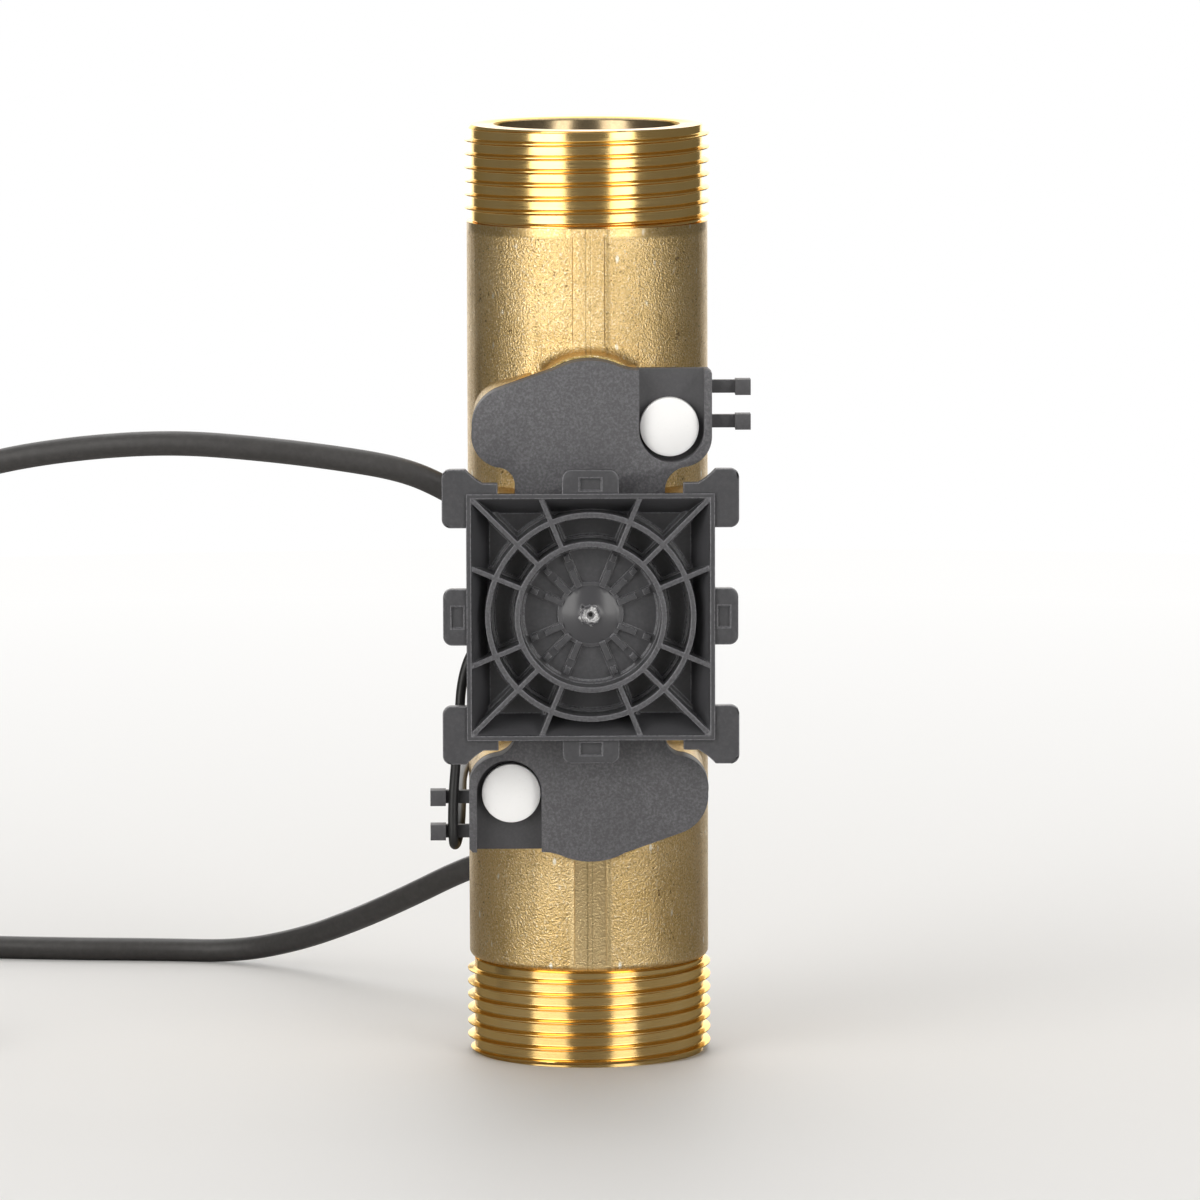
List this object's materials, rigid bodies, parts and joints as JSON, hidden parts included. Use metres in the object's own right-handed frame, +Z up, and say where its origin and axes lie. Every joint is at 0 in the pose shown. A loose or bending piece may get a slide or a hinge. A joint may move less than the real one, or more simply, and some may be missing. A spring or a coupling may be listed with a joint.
{
  "type": "heat meter flow sensor",
  "caption": "Brass pipe section with male threads at both ends, a sensor cover with wing plates, a square ribbed adapter plate and corded sensors.",
  "frame": {"origin": "centre of the pipe's lower end face, on the pipe axis", "axes": "+Z up the pipe axis towards the upper thread, -Y out of the sensor cover and the adapter, +X to the right seen from the front"},
  "size_m": [0.2078, 0.142, 0.16],
  "materials": {
    "brass": "machined threads and faces, fine cast grain on the barrel",
    "insert_plastic": "moulded",
    "steel": "turned and stamped",
    "transducer_plastic": "moulded",
    "seal_rubber": "matte",
    "cover_plastic": "fine grained",
    "cap_plastic": "satin white",
    "board": "solder mask",
    "header_plastic": "moulded",
    "wire": "smooth",
    "adapter_plastic": "smooth moulded",
    "boot_rubber": "matte",
    "cable_sheath": "satin",
    "lead_sheath": "satin",
    "plug_plastic": "moulded",
    "head_plastic": "moulded",
    "washer": "fibre"
  },
  "bodies": {
    "root": {"brass_body": "brass", "measuring_insert": "insert_plastic", "insert_ring": "steel", "lower_mirror": "steel", "upper_mirror": "steel", "lower_transducer": "transducer_plastic", "upper_transducer": "transducer_plastic", "lower_transducer_seal": "seal_rubber", "upper_transducer_seal": "seal_rubber", "lower_transducer_clamp": "steel", "upper_transducer_clamp": "steel", "clamp_screws": "steel", "cover_gasket": "seal_rubber", "sensor_cover": "cover_plastic", "lower_cover_screw": "steel", "upper_cover_screw": "steel", "lower_seal_cap": "cap_plastic", "upper_seal_cap": "cap_plastic", "board_pad": "seal_rubber", "terminal_board": "board", "header_blocks": "header_plastic", "lower_transducer_wire": "wire", "upper_transducer_wire": "wire", "calculator_adapter": "adapter_plastic", "signal_cable_gland": "boot_rubber", "signal_cable": "cable_sheath", "signal_cable_coil": "cable_sheath", "signal_cable_plug": "plug_plastic", "lead_grommet": "boot_rubber", "sensor_lead": "lead_sheath", "temperature_probe": "steel", "probe_seal": "washer", "probe_head": "head_plastic", "sensor_cable": "cable_sheath", "sensor_cable_coil": "cable_sheath", "sensor_cable_probe": "steel"}
  },
  "joints": []
}
